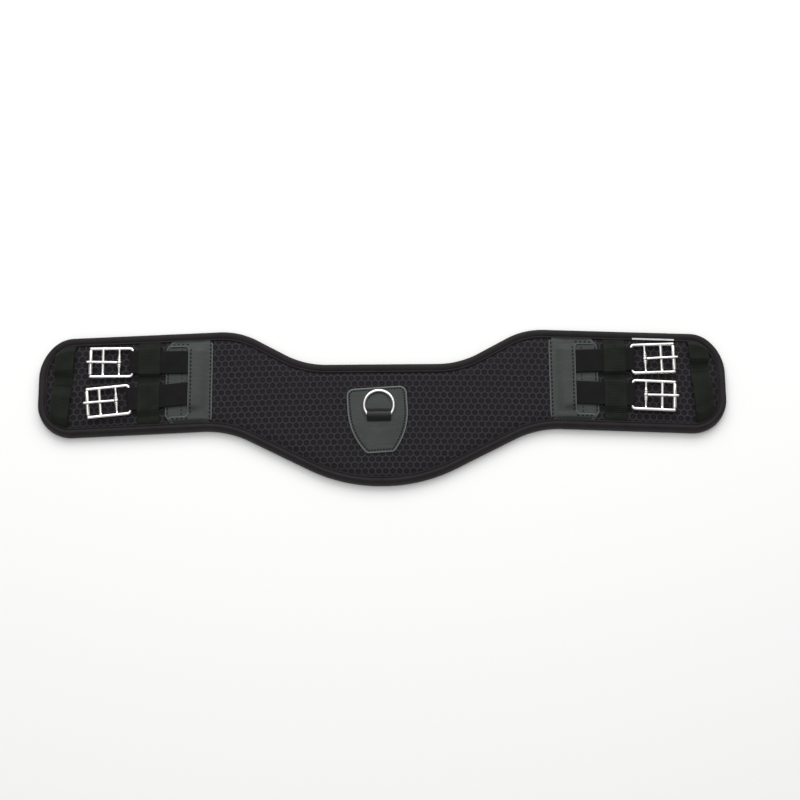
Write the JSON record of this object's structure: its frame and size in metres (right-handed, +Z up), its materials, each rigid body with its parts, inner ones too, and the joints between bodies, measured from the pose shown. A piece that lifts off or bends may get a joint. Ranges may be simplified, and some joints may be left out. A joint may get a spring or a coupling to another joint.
{
  "type": "saddle girth",
  "caption": "Shaped, padded saddle girth with embossed cover, bound edge, elastic straps with roller buckles at both ends, elastic keepers and a D-ring on a leather centre patch.",
  "frame": {"origin": "on the resting surface (outside of the lining), under the centre of the overall box", "axes": "+X along the girth to its right end, +Y to the straight front edge, +Z up, away from the horse"},
  "size_m": [0.7446, 0.171, 0.0201],
  "materials": {
    "lining_fabric": "matte, brushed",
    "foam": "soft closed foam",
    "webbing": "woven",
    "embossed_cover": "matte, embossed with hexagons",
    "binding": "matte, fine grain",
    "label": "satin weave",
    "leather": "semi-matte, light cut edge",
    "elastic": "smooth weave",
    "ribbed_elastic": "ribbed weave",
    "polished_steel": "polished"
  },
  "bodies": {
    "girth": {"lining": "lining_fabric", "foam_core": "foam", "webbing_front": "webbing", "webbing_rear": "webbing", "face_cover": "embossed_cover", "edge_binding": "binding", "seam_label": "label", "under_patch_left": "leather", "under_patch_right": "leather", "strap_band_left": "leather", "strap_band_right": "leather", "elastic_strap_left_front": "elastic", "elastic_strap_left_rear": "elastic", "elastic_strap_right_front": "elastic", "elastic_strap_right_rear": "elastic", "inner_keeper_left": "ribbed_elastic", "inner_keeper_right": "ribbed_elastic", "outer_keeper_left": "ribbed_elastic", "outer_keeper_right": "ribbed_elastic", "centre_patch": "leather", "dring_loop": "leather"},
    "strap_end_left_front": {"strap_loop_left_front": "elastic"},
    "buckle_left_front": {"buckle_frame_left_front": "polished_steel"},
    "tongue_left_front": {"tongue_left_front": "polished_steel"},
    "roller_left_front": {"roller_left_front": "polished_steel"},
    "strap_end_left_rear": {"strap_loop_left_rear": "elastic"},
    "buckle_left_rear": {"buckle_frame_left_rear": "polished_steel"},
    "tongue_left_rear": {"tongue_left_rear": "polished_steel"},
    "roller_left_rear": {"roller_left_rear": "polished_steel"},
    "strap_end_right_front": {"strap_loop_right_front": "elastic"},
    "buckle_right_front": {"buckle_frame_right_front": "polished_steel"},
    "tongue_right_front": {"tongue_right_front": "polished_steel"},
    "roller_right_front": {"roller_right_front": "polished_steel"},
    "strap_end_right_rear": {"strap_loop_right_rear": "elastic"},
    "buckle_right_rear": {"buckle_frame_right_rear": "polished_steel"},
    "tongue_right_rear": {"tongue_right_rear": "polished_steel"},
    "roller_right_rear": {"roller_right_rear": "polished_steel"},
    "d_ring": {"d_ring": "polished_steel"}
  },
  "joints": [
    {"name": "stretch_left_front", "type": "slide", "parent": "girth", "child": "strap_end_left_front", "axis": [-1, 0, 0], "range_m": [0, 0.012], "stiffness_N_per_m": 1500, "deforming": ["elastic_strap_left_front"]},
    {"name": "buckle_tilt_left_front", "type": "hinge", "parent": "strap_end_left_front", "child": "buckle_left_front", "pos_m": [-0.2703, 0.0505, 0.0146], "axis": [0, 1, 0], "range_deg": [0, 100]},
    {"name": "tongue_swing_left_front", "type": "hinge", "parent": "buckle_left_front", "child": "tongue_left_front", "pos_m": [-0.2845, 0.0505, 0.0146], "axis": [0, 1, 0], "range_deg": [0, 90]},
    {"name": "roller_spin_left_front", "type": "hinge", "parent": "buckle_left_front", "child": "roller_left_front", "pos_m": [-0.3155, 0.0505, 0.0146], "axis": [0, 1, 0], "continuous": true},
    {"name": "stretch_left_rear", "type": "slide", "parent": "girth", "child": "strap_end_left_rear", "axis": [-0.9952, -0.0976, 0], "range_m": [0, 0.012], "stiffness_N_per_m": 1500, "deforming": ["elastic_strap_left_rear"]},
    {"name": "buckle_tilt_left_rear", "type": "hinge", "parent": "strap_end_left_rear", "child": "buckle_left_rear", "pos_m": [-0.2723, 0.00967, 0.0146], "axis": [-0.0976, 0.9952, 0], "range_deg": [0, 100]},
    {"name": "tongue_swing_left_rear", "type": "hinge", "parent": "buckle_left_rear", "child": "tongue_left_rear", "pos_m": [-0.28643, 0.00828, 0.0146], "axis": [-0.0976, 0.9952, 0], "range_deg": [0, 90]},
    {"name": "roller_spin_left_rear", "type": "hinge", "parent": "buckle_left_rear", "child": "roller_left_rear", "pos_m": [-0.31728, 0.00526, 0.0146], "axis": [-0.0976, 0.9952, 0], "continuous": true},
    {"name": "stretch_right_front", "type": "slide", "parent": "girth", "child": "strap_end_right_front", "axis": [0.9997, 0.0227, 0], "range_m": [0, 0.012], "stiffness_N_per_m": 1500, "deforming": ["elastic_strap_right_front"]},
    {"name": "buckle_tilt_right_front", "type": "hinge", "parent": "strap_end_right_front", "child": "buckle_right_front", "pos_m": [0.2709, 0.04991, 0.0146], "axis": [0.0227, -0.9997, 0], "range_deg": [0, 100]},
    {"name": "tongue_swing_right_front", "type": "hinge", "parent": "buckle_right_front", "child": "tongue_right_front", "pos_m": [0.2851, 0.05023, 0.0146], "axis": [0.0227, -0.9997, 0], "range_deg": [0, 90]},
    {"name": "roller_spin_right_front", "type": "hinge", "parent": "buckle_right_front", "child": "roller_right_front", "pos_m": [0.31609, 0.05094, 0.0146], "axis": [0.0227, -0.9997, 0], "continuous": true},
    {"name": "stretch_right_rear", "type": "slide", "parent": "girth", "child": "strap_end_right_rear", "axis": [0.9986, -0.0523, 0], "range_m": [0, 0.012], "stiffness_N_per_m": 1500, "deforming": ["elastic_strap_right_rear"]},
    {"name": "buckle_tilt_right_rear", "type": "hinge", "parent": "strap_end_right_rear", "child": "buckle_right_rear", "pos_m": [0.2703, 0.01077, 0.0146], "axis": [-0.0523, -0.9986, 0], "range_deg": [0, 100]},
    {"name": "tongue_swing_right_rear", "type": "hinge", "parent": "buckle_right_rear", "child": "tongue_right_rear", "pos_m": [0.28448, 0.01003, 0.0146], "axis": [-0.0523, -0.9986, 0], "range_deg": [0, 90]},
    {"name": "roller_spin_right_rear", "type": "hinge", "parent": "buckle_right_rear", "child": "roller_right_rear", "pos_m": [0.31544, 0.0084, 0.0146], "axis": [-0.0523, -0.9986, 0], "continuous": true},
    {"name": "d_ring_swing", "type": "hinge", "parent": "girth", "child": "d_ring", "pos_m": [-0.0034, -0.009, 0.014], "axis": [1, 0, 0], "range_deg": [0, 170]}
  ]
}
